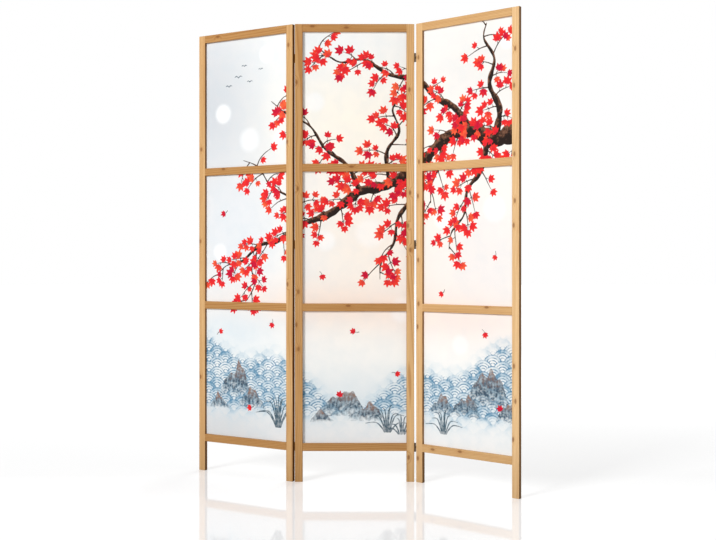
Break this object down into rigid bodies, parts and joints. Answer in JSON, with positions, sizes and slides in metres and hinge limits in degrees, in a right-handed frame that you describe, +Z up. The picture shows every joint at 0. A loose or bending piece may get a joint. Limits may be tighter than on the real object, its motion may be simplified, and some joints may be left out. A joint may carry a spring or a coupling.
{
  "type": "folding screen",
  "caption": "Three-panel folding screen: pine frames on legs, printed cloth sheets held by strips in rear rabbets, butt hinges that fold the panels in a zigzag.",
  "frame": {"origin": "on the floor, under the middle of the whole screen's box, with the panels set in a zigzag", "axes": "+Z up, +X to the right of someone who looks at the printed side, +Y away from them; the middle panel lies along X and faces -Y"},
  "size_m": [1.1944, 0.5334, 1.71],
  "materials": {
    "frame_wood": "satin clear lacquer",
    "strip_wood": "planed, unfinished",
    "dowel_wood": "turned, unfinished",
    "printed_cloth": "matte, inkjet printed on one side",
    "hinge_steel": "dark bronze plated",
    "pin_steel": "dark bronze plated",
    "screw_steel": "dark bronze plated",
    "brad_steel": "bright wire"
  },
  "bodies": {
    "middle_panel": {"middle_panel_left_stile": "frame_wood", "middle_panel_right_stile": "frame_wood", "middle_panel_bottom_rail": "frame_wood", "middle_panel_lower_rail": "frame_wood", "middle_panel_upper_rail": "frame_wood", "middle_panel_top_rail": "frame_wood", "middle_panel_bottom_sheet": "printed_cloth", "middle_panel_centre_sheet": "printed_cloth", "middle_panel_top_sheet": "printed_cloth", "middle_panel_sheet_strips": "strip_wood", "middle_panel_dowels": "dowel_wood", "middle_panel_brads": "brad_steel", "left_joint_bottom_hinge_fixed_leaf": "hinge_steel", "left_joint_bottom_hinge_pin": "pin_steel", "left_joint_centre_hinge_fixed_leaf": "hinge_steel", "left_joint_centre_hinge_pin": "pin_steel", "left_joint_top_hinge_fixed_leaf": "hinge_steel", "left_joint_top_hinge_pin": "pin_steel", "left_joint_fixed_screws": "screw_steel", "right_joint_bottom_hinge_fixed_leaf": "hinge_steel", "right_joint_bottom_hinge_pin": "pin_steel", "right_joint_centre_hinge_fixed_leaf": "hinge_steel", "right_joint_centre_hinge_pin": "pin_steel", "right_joint_top_hinge_fixed_leaf": "hinge_steel", "right_joint_top_hinge_pin": "pin_steel", "right_joint_fixed_screws": "screw_steel"},
    "left_panel": {"left_panel_left_stile": "frame_wood", "left_panel_right_stile": "frame_wood", "left_panel_bottom_rail": "frame_wood", "left_panel_lower_rail": "frame_wood", "left_panel_upper_rail": "frame_wood", "left_panel_top_rail": "frame_wood", "left_panel_bottom_sheet": "printed_cloth", "left_panel_centre_sheet": "printed_cloth", "left_panel_top_sheet": "printed_cloth", "left_panel_sheet_strips": "strip_wood", "left_panel_dowels": "dowel_wood", "left_panel_brads": "brad_steel", "left_joint_bottom_hinge_swing_leaf": "hinge_steel", "left_joint_centre_hinge_swing_leaf": "hinge_steel", "left_joint_top_hinge_swing_leaf": "hinge_steel", "left_joint_swing_screws": "screw_steel"},
    "right_panel": {"right_panel_left_stile": "frame_wood", "right_panel_right_stile": "frame_wood", "right_panel_bottom_rail": "frame_wood", "right_panel_lower_rail": "frame_wood", "right_panel_upper_rail": "frame_wood", "right_panel_top_rail": "frame_wood", "right_panel_bottom_sheet": "printed_cloth", "right_panel_centre_sheet": "printed_cloth", "right_panel_top_sheet": "printed_cloth", "right_panel_sheet_strips": "strip_wood", "right_panel_dowels": "dowel_wood", "right_panel_brads": "brad_steel", "right_joint_bottom_hinge_swing_leaf": "hinge_steel", "right_joint_centre_hinge_swing_leaf": "hinge_steel", "right_joint_top_hinge_swing_leaf": "hinge_steel", "right_joint_swing_screws": "screw_steel"}
  },
  "joints": [
    {"name": "left_panel_fold", "type": "hinge", "parent": "middle_panel", "child": "left_panel", "pos_m": [-0.20641, 0.03899, 0.855], "axis": [0, 0, 1], "range_deg": [-149, 31]},
    {"name": "right_panel_fold", "type": "hinge", "parent": "middle_panel", "child": "right_panel", "pos_m": [0.24274, 0.01999, 0.855], "axis": [0, 0, 1], "range_deg": [-140, 52]}
  ]
}
